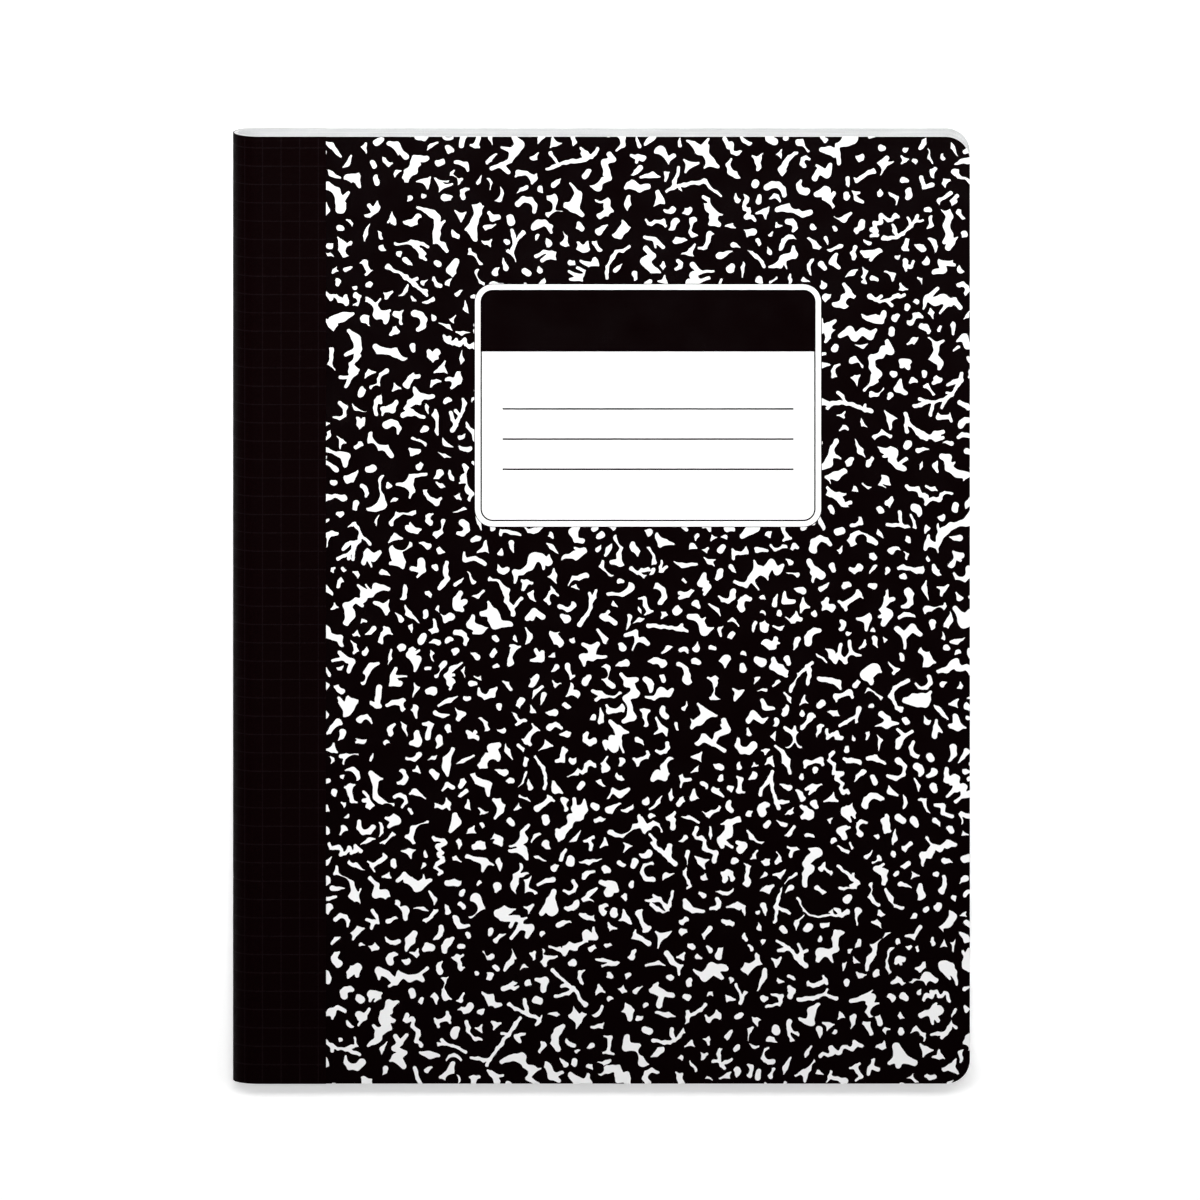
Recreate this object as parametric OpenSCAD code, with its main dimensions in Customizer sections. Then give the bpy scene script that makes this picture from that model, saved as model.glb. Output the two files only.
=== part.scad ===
// Sewn composition notebook, lying closed on its back cover.
// X runs from the spine to the fore edge, Y from tail to head, Z up through the thickness.
// The origin is under the middle of the closed book.

/* [Book] */
// Width from the back of the spine to the fore edge
book_w = 190; // [150:1:230]
// Height from tail to head
book_h = 248; // [200:1:300]
// Radius of the two trimmed corners at the fore edge
corner_r = 6.3; // [3:0.1:10]

/* [Pages] */
// Sheets in the block, each folded once into two leaves
sheet_count = 50; // [30:1:70]
// Thickness of one leaf with the air beside it
leaf_t = 0.11; // [0.09:0.005:0.13]

/* [Cover card] */
// Thickness of the cover card
card_t = 1; // [0.8:0.1:1.5]
// Flat stretch of the spine strip between the fold's round and the crease
crease_lead = 0.5; // [0.3:0.1:2]
// Width of each hinge crease
crease_w = 0.3; // [0.2:0.05:0.6]

/* [Binding tape] */
// Thickness of the cloth tape
tape_t = 0.25; // [0.15:0.05:0.4]
// Width of tape seen on each cover, measured from the back of the spine
tape_reach = 24; // [18:1:32]

/* [Sewing] */
// Diameter of the sewing thread
thread_d = 0.5; // [0.4:0.05:0.6]
// Distance between needle holes
stitch_pitch = 8; // [5:0.5:12]
// Shortest distance from the first needle hole to the head or tail
stitch_margin = 8; // [5:0.5:15]
// Room round the thread in its holes and grooves
thread_room = 0.05; // [0.02:0.01:0.1]

/* [Marbled print] */
// Thickness that stands for the printed ink
ink_t = 0.05; // [0.03:0.01:0.1]
// Distance between the middles of neighbouring flecks in a row
fleck_pitch = 16.5; // [16:0.5:24]
// Least width of ink between two flecks
fleck_gap = 1.2; // [0.6:0.1:3]
// Reach of a fleck's waists as a share of its longest arm's
fleck_waist = 0.5; // [0.35:0.05:0.7]

/* [Label] */
// Width of the bare label panel, centred between the tape and the fore edge
label_w = 89.2; // [60:0.1:110]
// Height of the bare label panel
label_h = 63.4; // [56:0.1:90]
// Corner radius of the label panel
label_r = 4.6; // [3:0.1:8]
// Distance from the label to the head
label_from_head = 38.7; // [20:0.1:90]
// Width of the ink line that rings the label
key_line = 0.6; // [0.3:0.1:1.5]
// White border between the label's edge and its frame line
frame_inset = 1.4; // [0.8:0.1:2]
// Width of the frame line
frame_line = 0.3; // [0.2:0.05:0.6]
// Height of the dark band across the top of the frame
header_h = 16.2; // [8:0.1:20]
// Writing lines on the label
rule_count = 3; // [1:1:3]
// Distance between writing lines
rule_pitch = 7.9; // [5:0.1:8]
// Distance from the label's top to the first writing line
rule_top = 32.6; // [24:0.1:36]
// White space at both ends of a writing line
rule_margin = 7.1; // [4:0.1:15]
// Width of a writing line
rule_line = 0.3; // [0.2:0.05:0.6]

/* [Hidden] */
$fn = 64;

// Pages, card and tape are nested round the fold, so their radii add up
block_r = sheet_count * leaf_t;
card_r = block_r + card_t;
tape_r = card_r + tape_t;

// Places along X: the fold's axis, the edges beside the crease, and where the tape ends
fore_x = book_w / 2;
fold_x = tape_r - book_w / 2;
strip_x = fold_x + crease_lead;
panel_x = strip_x + crease_w;
tape_edge_x = tape_reach - book_w / 2;

// Levels along Z, from the table up
mid_z = tape_r;
back_card_z = mid_z - card_r;
front_card_z = mid_z + block_r;
front_face_z = mid_z + card_r;

// Needle holes, spread evenly about the middle of the spine
stitch_spans = floor((book_h - 2 * stitch_margin) / stitch_pitch);
first_needle_y = -stitch_spans * stitch_pitch / 2;

// The outer row of thread lies in a groove under the tape, the inner row in the middle fold
thread_r = thread_d / 2;
hole_r = thread_r + thread_room;
outer_row_x = fold_x - card_r + hole_r;
inner_row_x = fold_x + thread_r;
// Pulled tight, the thread is a little thinner through the needle holes than along the rows
drawn_share = 0.9;

label_x = (tape_edge_x + fore_x) / 2;
label_y = book_h / 2 - label_from_head - label_h / 2;

paper_colour = "#f4f4f2";
card_colour = "#e9e9ea";
thread_colour = "#fbfaf5";
tape_colour = "#100809";
ink_colour = "#0b0405";

// Flat outline from one X to the fore edge, with the fore edge's corners trimmed round
module leaf_outline(from_x) {
    inner_x = fore_x - corner_r;
    translate([from_x, -book_h / 2])
        square([inner_x - from_x, book_h]);
    translate([from_x, corner_r - book_h / 2])
        square([fore_x - from_x, book_h - 2 * corner_r]);
    for (side = [-1, 1])
        translate([inner_x, side * (book_h / 2 - corner_r)])
            circle(corner_r);
}

// Section of the fold in X and Z: half round at the left, then straight to an edge at the right
module fold_section(r, to_x) {
    intersection() {
        circle(r);
        translate([-r, -r])
            square([r, 2 * r]);
    }
    translate([0, -r])
        square([to_x - fold_x, 2 * r]);
}

// Runs a section about the fold's axis along the whole spine
module along_spine() {
    translate([fold_x, book_h / 2, mid_z])
        rotate([90, 0, 0])
            linear_extrude(book_h)
                children();
}

// Strip bent round the fold between two radii, as far as the creases
module spine_strip(inner_r, outer_r) {
    along_spine()
        difference() {
            fold_section(outer_r, strip_x);
            fold_section(inner_r, strip_x + 1);
        }
}

// The seam's shape: an outer and an inner row joined through every needle hole
module seam(r) {
    for (x = [outer_row_x, inner_row_x])
        translate([x, r - first_needle_y, mid_z])
            rotate([90, 0, 0])
                cylinder(h = 2 * (r - first_needle_y), r = r);
    for (i = [0 : stitch_spans])
        translate([outer_row_x, first_needle_y + i * stitch_pitch, mid_z])
            rotate([0, 90, 0])
                cylinder(h = inner_row_x - outer_row_x, r = drawn_share * r);
}

// Repeatable number from 0 to 1, for a place in the print and a channel
function chance(column, row, channel) =
    let (v = 43758.5453 * sin(127.1 * column + 311.7 * row + 74.7 * channel))
    v - floor(v);

// Outline of one bare fleck about the origin: three arms of unequal length, waists between them
function fleck(reach, column, row) = [
    for (k = [0 : 5])
        let (
            share = k % 2 == 0 ? 0.5 + 0.5 * chance(column, row, 10 + k) : fleck_waist,
            swing = 24 * (chance(column, row, 20 + k) - 0.5),
            angle = 360 * chance(column, row, 1) + 60 * k + swing
        )
        reach * share * [cos(angle), sin(angle)]
];

// Flecks in staggered rows over the printed field, cut off by the edges that they lie on
module flecks(seed) {
    field = [fore_x - tape_edge_x, book_h];
    columns = round(field.x / fleck_pitch);
    rows = 2 * round(field.y / fleck_pitch / sqrt(3));
    step = [field.x / columns, field.y / rows];
    room = (min(step.x, norm([step.x / 2, step.y])) - fleck_gap) / 2;
    for (row = [0 : rows]) {
        odd = row % 2;
        for (column = [0 : columns - 1 + odd]) {
            on_edge = row == 0 || row == rows || (odd == 1 && (column == 0 || column == columns));
            reach = room * (0.7 + 0.3 * chance(column, row, seed));
            drift = on_edge ? 0 : room - reach;
            turn = 360 * chance(column, row, seed + 1);
            middle = [tape_edge_x + step.x * (column + (1 - odd) / 2), step.y * row - book_h / 2];
            translate(middle + drift * [cos(turn), sin(turn)])
                polygon(fleck(reach, column + seed, row));
        }
    }
}

// Panel with four round corners, centred on the origin
module round_panel(w, h, r) {
    square([w - 2 * r, h], center = true);
    square([w, h - 2 * r], center = true);
    for (sx = [-1, 1], sy = [-1, 1])
        translate([sx * (w / 2 - r), sy * (h / 2 - r)])
            circle(r);
}

// A panel like the label's, larger or smaller than it by the same width on every side
module label_panel(grow) {
    round_panel(label_w + 2 * grow, label_h + 2 * grow, label_r + grow);
}

// Card of one cover, with its underside at z
module cover_card(z) {
    translate([0, 0, z])
        linear_extrude(card_t)
            leaf_outline(panel_x);
}

// Flap of tape on one cover, with its underside at z
module tape_flap(z) {
    translate([panel_x, -book_h / 2, z])
        cube([tape_edge_x - panel_x, book_h, tape_t]);
}

// All leaves as one solid, folded round the middle of the spine and pierced for the seam
module page_block() {
    color(paper_colour)
        difference() {
            intersection() {
                along_spine()
                    fold_section(block_r, fore_x);
                linear_extrude(mid_z + tape_r)
                    leaf_outline(-book_w / 2);
            }
            seam(hole_r);
        }
}

module sewing_thread() {
    color(thread_colour)
        seam(thread_r);
}

// Strip of the cover card round the fold, pierced and grooved for the seam
module cover_spine() {
    color(card_colour)
        difference() {
            spine_strip(block_r, card_r);
            seam(hole_r);
        }
}

module front_cover() {
    color(card_colour)
        cover_card(front_card_z);
}

module back_cover() {
    color(card_colour)
        cover_card(back_card_z);
}

module spine_tape() {
    color(tape_colour)
        spine_strip(card_r, tape_r);
}

module front_tape() {
    color(tape_colour)
        tape_flap(front_face_z);
}

module back_tape() {
    color(tape_colour)
        tape_flap(back_card_z - tape_t);
}

// Dark ink of the front cover, bare where the flecks and the label are
module front_marbling() {
    color(ink_colour)
        translate([0, 0, front_face_z])
            linear_extrude(ink_t)
                difference() {
                    leaf_outline(tape_edge_x);
                    difference() {
                        flecks(3);
                        translate([label_x, label_y])
                            label_panel(key_line);
                    }
                    translate([label_x, label_y])
                        label_panel(0);
                }
}

// Dark ink of the back cover, marbled from the tape to the edges
module back_marbling() {
    color(ink_colour)
        translate([0, 0, back_card_z - ink_t])
            linear_extrude(ink_t)
                difference() {
                    leaf_outline(tape_edge_x);
                    flecks(8);
                }
}

// The label's frame line, dark header band and writing lines
module label_print() {
    color(ink_colour)
        translate([label_x, label_y, front_face_z])
            linear_extrude(ink_t) {
                difference() {
                    label_panel(-frame_inset);
                    intersection() {
                        label_panel(-frame_inset - frame_line);
                        translate([0, -frame_inset - header_h])
                            square([label_w, label_h], center = true);
                    }
                }
                for (i = [0 : rule_count - 1])
                    translate([0, label_h / 2 - rule_top - i * rule_pitch])
                        square([label_w - 2 * rule_margin, rule_line], center = true);
            }
}

page_block();
sewing_thread();
cover_spine();
front_cover();
back_cover();
spine_tape();
front_tape();
back_tape();
front_marbling();
back_marbling();
label_print();
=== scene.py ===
import math

import bpy
import numpy as np
from mathutils import Matrix, Vector
from mathutils.geometry import delaunay_2d_cdt


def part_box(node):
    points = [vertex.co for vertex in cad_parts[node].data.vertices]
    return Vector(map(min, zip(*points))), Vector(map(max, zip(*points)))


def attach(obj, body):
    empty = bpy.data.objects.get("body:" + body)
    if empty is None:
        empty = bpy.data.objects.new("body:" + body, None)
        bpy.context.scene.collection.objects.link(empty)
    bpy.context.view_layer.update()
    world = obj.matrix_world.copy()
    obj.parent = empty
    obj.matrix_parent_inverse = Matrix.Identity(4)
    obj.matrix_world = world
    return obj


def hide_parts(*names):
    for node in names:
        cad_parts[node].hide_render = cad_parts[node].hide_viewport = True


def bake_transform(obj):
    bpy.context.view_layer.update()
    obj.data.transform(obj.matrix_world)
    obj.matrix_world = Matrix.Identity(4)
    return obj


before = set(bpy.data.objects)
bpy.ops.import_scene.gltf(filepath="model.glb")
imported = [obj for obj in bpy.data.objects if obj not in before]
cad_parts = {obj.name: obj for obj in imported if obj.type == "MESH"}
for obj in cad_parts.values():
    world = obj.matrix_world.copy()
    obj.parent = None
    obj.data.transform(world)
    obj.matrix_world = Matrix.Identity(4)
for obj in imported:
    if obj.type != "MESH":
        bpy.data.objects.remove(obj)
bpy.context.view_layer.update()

# The looks of a sewn composition notebook, lying closed on its back cover.
# Mesh code works in millimetres; objects are made in metres, in the frame's own axes.

MM = 0.001


def node_span(name):
    """Lowest and highest corner of a CAD node at rest, in millimetres."""
    low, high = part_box(name)
    return [c / MM for c in low], [c / MM for c in high]


# Places from the frame
FRONT_LOW, FRONT_HIGH = node_span("front_cover")
BACK_LOW, BACK_HIGH = node_span("back_cover")
TAPE_LOW, TAPE_HIGH = node_span("spine_tape")
BLOCK_TOP = node_span("page_block")[1][2]

HALF_H = FRONT_HIGH[1]              # half of the book's height
FORE_X = FRONT_HIGH[0]              # fore edge
PANEL_X = FRONT_LOW[0]              # cover's edge beside the crease
STRIP_X = TAPE_HIGH[0]              # spine strip's edge beside the crease
TAPE_EDGE_X = node_span("front_marbling")[0][0]   # where the tape ends on a cover
MID_Z = (TAPE_LOW[2] + TAPE_HIGH[2]) / 2
TAPE_R = TAPE_HIGH[2] - MID_Z       # outer radius of the tape round the fold
BLOCK_R = BLOCK_TOP - MID_Z         # outer radius of the pages round the fold
CREASE_LEAD = 0.5                   # flat stretch between the fold's round and the crease
FOLD_X = STRIP_X - CREASE_LEAD      # axis of the fold
CORNER_R = 6.3                      # corners trimmed round at the fore edge


# Camera: a level copy-stand view, tilted so that the head's page edges show

PIXELS_PER_METRE = 3879
IMAGE_SIDE = 1200
TILT = math.radians(10.05)
COVER_CENTRE_PIXEL = (601.5, 610.2)
CAMERA_DISTANCE = 1.5


def add_camera():
    """A camera with no perspective, framed so that the cover's middle falls on its pixel."""
    right = Vector((1, 0, 0))
    up = Vector((0, math.cos(TILT), -math.sin(TILT)))
    back = Vector((0, math.sin(TILT), math.cos(TILT)))
    cover_centre = Vector((0, 0, FRONT_HIGH[2] * MM))
    shift_right = (COVER_CENTRE_PIXEL[0] - IMAGE_SIDE / 2) / PIXELS_PER_METRE
    shift_down = (COVER_CENTRE_PIXEL[1] - IMAGE_SIDE / 2) / PIXELS_PER_METRE
    aim = cover_centre - right * shift_right + up * shift_down
    data = bpy.data.cameras.new("copy_stand_camera")
    data.type = "ORTHO"
    data.ortho_scale = IMAGE_SIDE / PIXELS_PER_METRE
    data.clip_start, data.clip_end = 0.01, 20
    camera = bpy.data.objects.new("copy_stand_camera", data)
    rotation = Matrix((right, up, back)).transposed().to_4x4()
    camera.matrix_world = Matrix.Translation(aim + back * CAMERA_DISTANCE) @ rotation
    bpy.context.scene.collection.objects.link(camera)
    bpy.context.scene.camera = camera


add_camera()


# Materials

class Nodes:
    """A material being built: its node tree, its main shader and a few short ways to add to them."""

    def __init__(self, name, base, roughness, specular=0.5, sheen=0.0):
        self.material = bpy.data.materials.new(name)
        self.material.use_nodes = True
        self.tree = self.material.node_tree
        self.shader = self.tree.nodes["Principled BSDF"]
        self.shader.inputs["Base Color"].default_value = (*base, 1)
        self.shader.inputs["Roughness"].default_value = roughness
        self.shader.inputs["Specular IOR Level"].default_value = specular
        if sheen:
            self.shader.inputs["Sheen Weight"].default_value = sheen
            self.shader.inputs["Sheen Roughness"].default_value = 0.45
        self.height = None

    def add(self, kind, **values):
        node = self.tree.nodes.new(kind)
        for key, value in values.items():
            setattr(node, key, value)
        return node

    def link(self, output, target):
        self.tree.links.new(output, target)

    def places(self):
        return self.add("ShaderNodeTexCoord").outputs["Object"]

    def stretched(self, source, scale):
        node = self.add("ShaderNodeMapping")
        node.inputs["Scale"].default_value = scale
        self.link(source, node.inputs["Vector"])
        return node.outputs["Vector"]

    def noise(self, source, scale, detail=4, roughness=0.55):
        node = self.add("ShaderNodeTexNoise")
        node.inputs["Scale"].default_value = scale
        node.inputs["Detail"].default_value = detail
        node.inputs["Roughness"].default_value = roughness
        self.link(source, node.inputs["Vector"])
        return node.outputs["Fac"]

    def math(self, operation, a, b=None):
        node = self.add("ShaderNodeMath", operation=operation)
        for socket, value in zip(node.inputs, (a, b)):
            if value is None:
                continue
            if isinstance(value, (int, float)):
                socket.default_value = value
            else:
                self.link(value, socket)
        return node.outputs[0]

    def spread(self, fac, low, high, start=0.3, end=0.7):
        """Turns a noise value into a number between low and high."""
        node = self.add("ShaderNodeMapRange")
        self.link(fac, node.inputs["Value"])
        for key, value in (("From Min", start), ("From Max", end), ("To Min", low), ("To Max", high)):
            node.inputs[key].default_value = value
        return node.outputs["Result"]

    def colours(self, fac, stops):
        """Colours the shader's base by a noise value, with stops of (position, colour)."""
        ramp = self.add("ShaderNodeValToRGB")
        elements = ramp.color_ramp.elements
        while len(elements) < len(stops):
            elements.new(0.5)
        for element, (position, colour) in zip(elements, stops):
            element.position = position
            element.color = (*colour, 1)
        self.link(fac, ramp.inputs["Fac"])
        self.link(ramp.outputs["Color"], self.shader.inputs["Base Color"])

    def roughness(self, value):
        self.link(value, self.shader.inputs["Roughness"])

    def bump(self, height, depth, strength=1.0):
        """Adds relief of a real depth in metres, over what was added before."""
        node = self.add("ShaderNodeBump")
        node.inputs["Strength"].default_value = strength
        node.inputs["Distance"].default_value = depth
        self.link(height, node.inputs["Height"])
        if self.height is not None:
            self.link(self.height, node.inputs["Normal"])
        self.height = node.outputs["Normal"]
        self.link(self.height, self.shader.inputs["Normal"])


def printed_surface(name, base, specular, roughness):
    """Smooth coated card, printed or bare: fine paper grain, a slow unevenness and a patchy gloss."""
    m = Nodes(name, base, sum(roughness) / 2, specular)
    place = m.places()
    m.roughness(m.spread(m.noise(place, 90, 5), *roughness))
    m.bump(m.noise(place, 4200, 3), 0.000012, 0.5)
    m.bump(m.noise(place, 260, 2), 0.00006, 0.35)
    return m.material


def card_inside():
    """Uncoated side of the card, with its fibres lying across the book."""
    m = Nodes("card_inside", (0.70, 0.70, 0.68), 0.7, 0.25)
    place = m.places()
    fibres = m.noise(m.stretched(place, (1, 3.2, 1)), 900, 6, 0.65)
    m.colours(fibres, [(0.30, (0.64, 0.637, 0.615)), (0.52, (0.70, 0.70, 0.68)),
                       (0.75, (0.74, 0.74, 0.725))])
    m.roughness(m.spread(fibres, 0.62, 0.8))
    m.bump(fibres, 0.00003, 0.6)
    m.bump(m.noise(place, 180, 2), 0.00008, 0.3)
    return m.material


def card_edge():
    """Cut edge of the card, where its pressed layers show as fine streaks."""
    m = Nodes("card_edge", (0.70, 0.70, 0.70), 0.85, 0.2)
    place = m.places()
    layers = m.noise(m.stretched(place, (1, 1, 14)), 420, 5, 0.6)
    m.colours(layers, [(0.32, (0.56, 0.56, 0.56)), (0.5, (0.70, 0.70, 0.70)),
                       (0.72, (0.80, 0.80, 0.80))])
    m.bump(layers, 0.00004, 0.8)
    return m.material


def paper(name, base, spread, specular=0.2):
    """Writing paper with a little cloudiness and tooth."""
    m = Nodes(name, base, 0.85, specular)
    place = m.places()
    cloud = m.noise(place, 160, 5)
    dark = tuple(c * (1 - spread) for c in base)
    light = tuple(min(1, c * (1 + spread / 2)) for c in base)
    m.colours(cloud, [(0.3, dark), (0.5, base), (0.7, light)])
    m.roughness(m.spread(m.noise(place, 1500, 3), 0.78, 0.92))
    m.bump(m.noise(place, 3000, 4), 0.000015, 0.6)
    return m.material


def page_edges_painted_shade():
    """Trimmed edges of the leaves, darker than the paper as painted shade of the gaps between the leaves;
    each has its own tone, so the block shows as fine lines.
    """
    # Base darker than the writing paper's: painted shade of the gaps between the leaves.
    m = Nodes("page_edges_painted_shade", (0.54, 0.547, 0.56), 0.9, 0.1)
    place = m.places()
    level = m.stretched(place, (0.02, 0.02, 1))
    leaves, bundles = m.noise(level, 5200, 2, 0.5), m.noise(level, 1300, 2, 0.5)
    both = m.math("MULTIPLY", m.math("ADD", leaves, bundles), 0.5)
    m.colours(both, [(0.32, (0.44, 0.447, 0.46)), (0.5, (0.54, 0.547, 0.56)),
                     (0.68, (0.64, 0.647, 0.66))])
    m.bump(m.noise(place, 2400, 4), 0.00002, 0.7)
    return m.material


def ruling(name, base):
    """Printed line with the paper's own tooth."""
    m = Nodes(name, base, 0.8, 0.2)
    place = m.places()
    m.roughness(m.spread(m.noise(place, 1500, 3), 0.72, 0.9))
    m.bump(m.noise(place, 3000, 4), 0.000015, 0.6)
    return m.material


WEAVE_PITCH = 0.0005   # from thread to thread of the binding cloth


def cloth_tape(name, base, specular):
    """Black coated book cloth: plain weave under a thin coat."""
    m = Nodes(name, base, 0.5, specular)
    uv = m.add("ShaderNodeUVMap", uv_map="cloth").outputs["UV"]
    split = m.add("ShaderNodeSeparateXYZ")
    m.link(uv, split.inputs["Vector"])
    across = m.math("DIVIDE", split.outputs["X"], WEAVE_PITCH)
    along = m.math("DIVIDE", split.outputs["Y"], WEAVE_PITCH)

    def thread(position):
        """Rounded height across one thread."""
        return m.math("SINE", m.math("MULTIPLY", m.math("FRACT", position), math.pi))

    crossings = m.math("ADD", m.math("FLOOR", across), m.math("FLOOR", along))
    over = m.math("GREATER_THAN", m.math("FRACT", m.math("MULTIPLY", crossings, 0.5)), 0.25)
    warp = m.math("MULTIPLY", thread(across), over)
    weft = m.math("MULTIPLY", thread(along), m.math("SUBTRACT", 1, over))
    weave = m.math("ADD", warp, weft)
    place = m.places()
    m.roughness(m.spread(m.noise(place, 500, 5), 0.42, 0.6))
    m.bump(weave, 0.00003, 0.55)
    m.bump(m.noise(place, 1400, 4), 0.00003, 0.5)
    m.bump(m.noise(place, 140, 2), 0.00012, 0.3)
    return m.material


def sewing_cotton():
    """Twisted cotton thread."""
    m = Nodes("sewing_cotton", (0.86, 0.85, 0.80), 0.8, 0.2, 0.2)
    place = m.places()
    twist = m.add("ShaderNodeTexWave", wave_type="BANDS", bands_direction="DIAGONAL")
    twist.inputs["Scale"].default_value = 900
    twist.inputs["Distortion"].default_value = 1.5
    m.link(place, twist.inputs["Vector"])
    m.colours(twist.outputs["Fac"], [(0.1, (0.70, 0.69, 0.63)), (0.6, (0.87, 0.86, 0.81))])
    m.roughness(m.spread(m.noise(place, 3000, 3), 0.7, 0.9))
    m.bump(twist.outputs["Fac"], 0.00006, 0.8)
    return m.material


INK = (0.0018, 0.0003, 0.0005)
MATERIALS = {
    "ink": printed_surface("black_print", INK, 0.04, (0.2, 0.28)),
    "bare": printed_surface("bare_card", (0.87, 0.87, 0.87), 0.3, (0.38, 0.5)),
    "inside": card_inside(),
    "edge": card_edge(),
    "paper": paper("writing_paper", (0.80, 0.80, 0.77), 0.03),
    "page_edges_painted_shade": page_edges_painted_shade(),
    "rule_blue": ruling("ruling_blue", (0.13, 0.29, 0.52)),
    "rule_red": ruling("ruling_red", (0.58, 0.12, 0.16)),
    "tape": cloth_tape("binding_cloth", (0.0022, 0.0003, 0.0005), 0.008),
    # The grooves' cloth is lighter than the rest: a painted sheen, the light that the groove walls would
    # catch.
    "groove": cloth_tape("binding_cloth_groove_painted_sheen", (0.0052, 0.0027, 0.0033), 0.008),
    "thread": sewing_cotton(),
}


# Mesh helpers

def make_piece(name, points, faces, slots, kinds=None, smooth_below=None, uv=None):
    """A mesh object from points in millimetres; kinds gives each face's slot, by its place in slots."""
    mesh = bpy.data.meshes.new(name)
    mesh.from_pydata([(x * MM, y * MM, z * MM) for x, y, z in points], [], faces)
    for slot in slots:
        mesh.materials.append(MATERIALS[slot])
    if kinds is not None:
        mesh.polygons.foreach_set("material_index", np.asarray(kinds, np.int32))
    if uv is not None:
        layer = mesh.uv_layers.new(name="cloth")
        loops = np.zeros(len(mesh.loops), np.int32)
        mesh.loops.foreach_get("vertex_index", loops)
        layer.data.foreach_set("uv", (np.asarray(uv, float)[loops] * MM).astype(np.float32).ravel())
    if smooth_below is not None:
        mesh.polygons.foreach_set("use_smooth", np.ones(len(mesh.polygons), bool))
        mesh.set_sharp_from_angle(angle=math.radians(smooth_below))
    mesh.update()
    piece = bpy.data.objects.new(name, mesh)
    bpy.context.scene.collection.objects.link(piece)
    return piece


def arc(centre, radius, start, end, steps):
    """Points on an arc, angles in degrees."""
    turns = np.radians(np.linspace(start, end, steps + 1))
    return [(centre[0] + radius * math.cos(a), centre[1] + radius * math.sin(a)) for a in turns]


def leaf_outline(inset):
    """Outline of a cover, square beside the spine and round at the fore edge, counterclockwise."""
    x, y, r = FORE_X - CORNER_R, HALF_H - CORNER_R, CORNER_R - inset
    left = PANEL_X + inset
    return ([(left, inset - HALF_H)] + arc((x, -y), r, -90, 0, 16)
            + arc((x, y), r, 0, 90, 16) + [(left, HALF_H - inset)])


def round_panel(centre, width, height, radius):
    """Outline of a panel with four round corners, counterclockwise."""
    x, y = width / 2 - radius, height / 2 - radius
    points = []
    for sx, sy, start in ((1, -1, -90), (1, 1, 0), (-1, 1, 90), (-1, -1, 180)):
        points += arc((centre[0] + sx * x, centre[1] + sy * y), radius, start, start + 90, 12)
    return points


def rectangle(x0, y0, x1, y1):
    """Outline of a rectangle, counterclockwise."""
    return [(x0, y0), (x1, y0), (x1, y1), (x0, y1)]


# Marbling: bare flecks of many forms, strewn over the ink with a least width of ink between them

MAP_CELL = 0.2                       # cell of the map that keeps flecks apart
TRACE_CELL = 0.11                    # cell of the grid that a fleck's outline is traced on
TRACE_ERROR = 0.012                  # how far a simplified outline may leave the traced one
STROKE_BLEND = 0.42                  # how softly two strokes of a fleck run into each other
BITE_BLEND = 0.10                    # how sharp the rim of a hollow is
FLECKS_PER_MM2 = 1310 / 41168
RANK_SHARES = (0.21, 0.30, 0.50)     # large, middling and small flecks
RANK_SCALES = (1.40, 1.38, 1.32)
RANK_LEAST_AREAS = (8, 4, 1.2)
GAPS = (0.42, 0.7)                   # ink kept round a fleck
INK_GAIN = 0.07                      # how far the ink creeps in over a fleck's rim
SMALLEST_FLECK = 0.9                 # area under which a loose crumb is left out
OVERHANG = 5.0                       # how far outside the field a fleck may be placed
WIDEST_INK = 3.6                     # side of the largest square left free of flecks
FULL_TURN = 6.283                    # in radians
THIRD_TURN = 2.094


def stroke_distance(x, y, stroke):
    """Distance from a stroke that tapers from one round end to the other."""
    (ax, ay, ar), (bx, by, br) = stroke
    dx, dy = bx - ax, by - ay
    t = np.clip(((x - ax) * dx + (y - ay) * dy) / max(dx * dx + dy * dy, 1e-9), 0, 1)
    return np.hypot(x - ax - t * dx, y - ay - t * dy) - (ar + t * (br - ar))


def smooth_min(a, b, k):
    """The lower of two distances, with a round fillet of width k where they meet."""
    h = np.clip(0.5 + 0.5 * (b - a) / k, 0, 1)
    return b + (a - b) * h - k * h * (1 - h)


def fleck_field(fleck, x, y):
    """Signed distance, nearly, from a fleck: negative inside."""
    amount, pace, phase_x, phase_y = fleck["warp"]
    wx = x + amount * np.sin(pace * y + phase_x)
    wy = y + amount * np.sin(pace * x + phase_y)
    field = stroke_distance(wx, wy, fleck["strokes"][0])
    for stroke in fleck["strokes"][1:]:
        field = smooth_min(field, stroke_distance(wx, wy, stroke), STROKE_BLEND)
    for cx, cy, r in fleck["bites"]:
        field = -smooth_min(-field, np.hypot(wx - cx, wy - cy) - r, BITE_BLEND)
    return field


def polar(r, a):
    """Offset of a length in a direction."""
    return r * math.cos(a), r * math.sin(a)


def chain(points):
    """Strokes that run from each point to the next."""
    return list(zip(points[:-1], points[1:]))


def pebble(rng):
    """A small round fleck, a little longer than wide."""
    r = rng.uniform(0.62, 1.0)
    return chain([(-rng.uniform(0.1, 0.7), 0, r), (rng.uniform(0.1, 0.7), 0, r * rng.uniform(0.65, 1.0))])


def drop(rng):
    """A short fleck that tapers to one point."""
    length, r, bend = rng.uniform(1.2, 3.0), rng.uniform(0.55, 0.85), rng.uniform(-0.3, 0.3)
    return chain([(-length / 2, 0, r), (0, bend, r * 0.62), (length / 2, 0, 0.16)])


def sliver(rng):
    """A thin fleck, widest in the middle and slightly bent."""
    length, r, bend = rng.uniform(2.2, 4.6), rng.uniform(0.42, 0.66), rng.uniform(-0.7, 0.7)
    tip = rng.choice([0.12, 0.3])
    return chain([(-length / 2, 0, 0.14), (-length * 0.12, bend, r), (length / 2, 0, tip)])


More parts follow.
